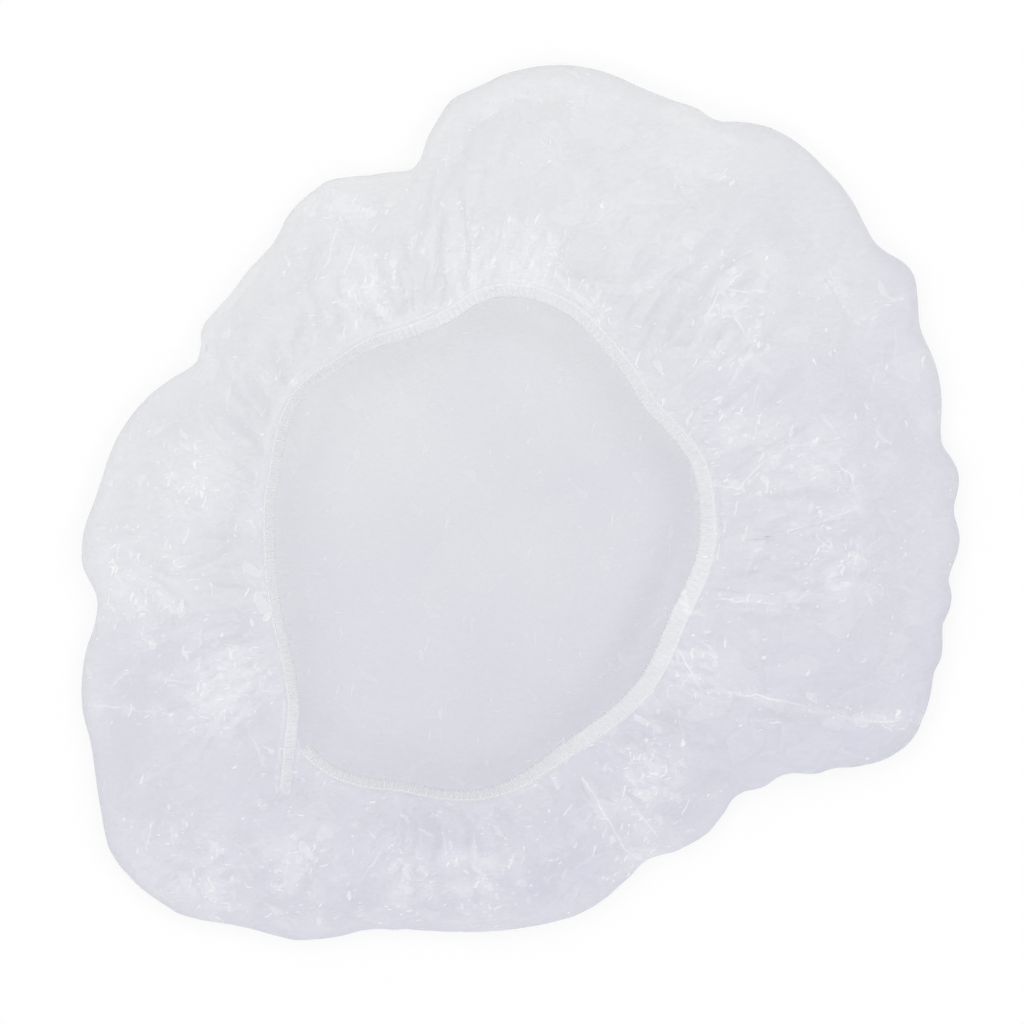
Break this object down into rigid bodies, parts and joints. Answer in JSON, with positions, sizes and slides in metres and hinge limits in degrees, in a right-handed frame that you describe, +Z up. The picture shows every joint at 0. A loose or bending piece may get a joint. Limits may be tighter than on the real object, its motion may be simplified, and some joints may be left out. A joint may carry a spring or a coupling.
{
  "type": "shower cap",
  "caption": "Thin clear film shower cap lying crown down, its gathered skirt drawn in to an elastic mouth with an overlocked hem, so that the mouth lifts off the crown.",
  "frame": {"origin": "on the table under the middle of the cap, as it lies crown down", "axes": "+Z up out of the mouth, +X to the right and +Y away from the viewer as the cap is seen from above with its hem's tail at the lower left"},
  "size_m": [0.2808, 0.2794, 0.0276],
  "materials": {
    "film": "clear crinkled polyethylene film, slightly milky",
    "elastic": "white covered elastic, matte",
    "thread": "white polyester sewing thread"
  },
  "bodies": {
    "crown": {"film_crown": "film", "film_side": "film"},
    "mouth": {"film_skirt": "film", "film_hem": "film", "elastic_band": "elastic", "needle_thread": "thread", "upper_looper_thread": "thread", "lower_looper_thread": "thread"}
  },
  "joints": [
    {"name": "mouth_lift", "type": "slide", "parent": "crown", "child": "mouth", "axis": [0, 0, 1], "range_m": [0, 0.04], "deforming": ["film_side"]}
  ]
}
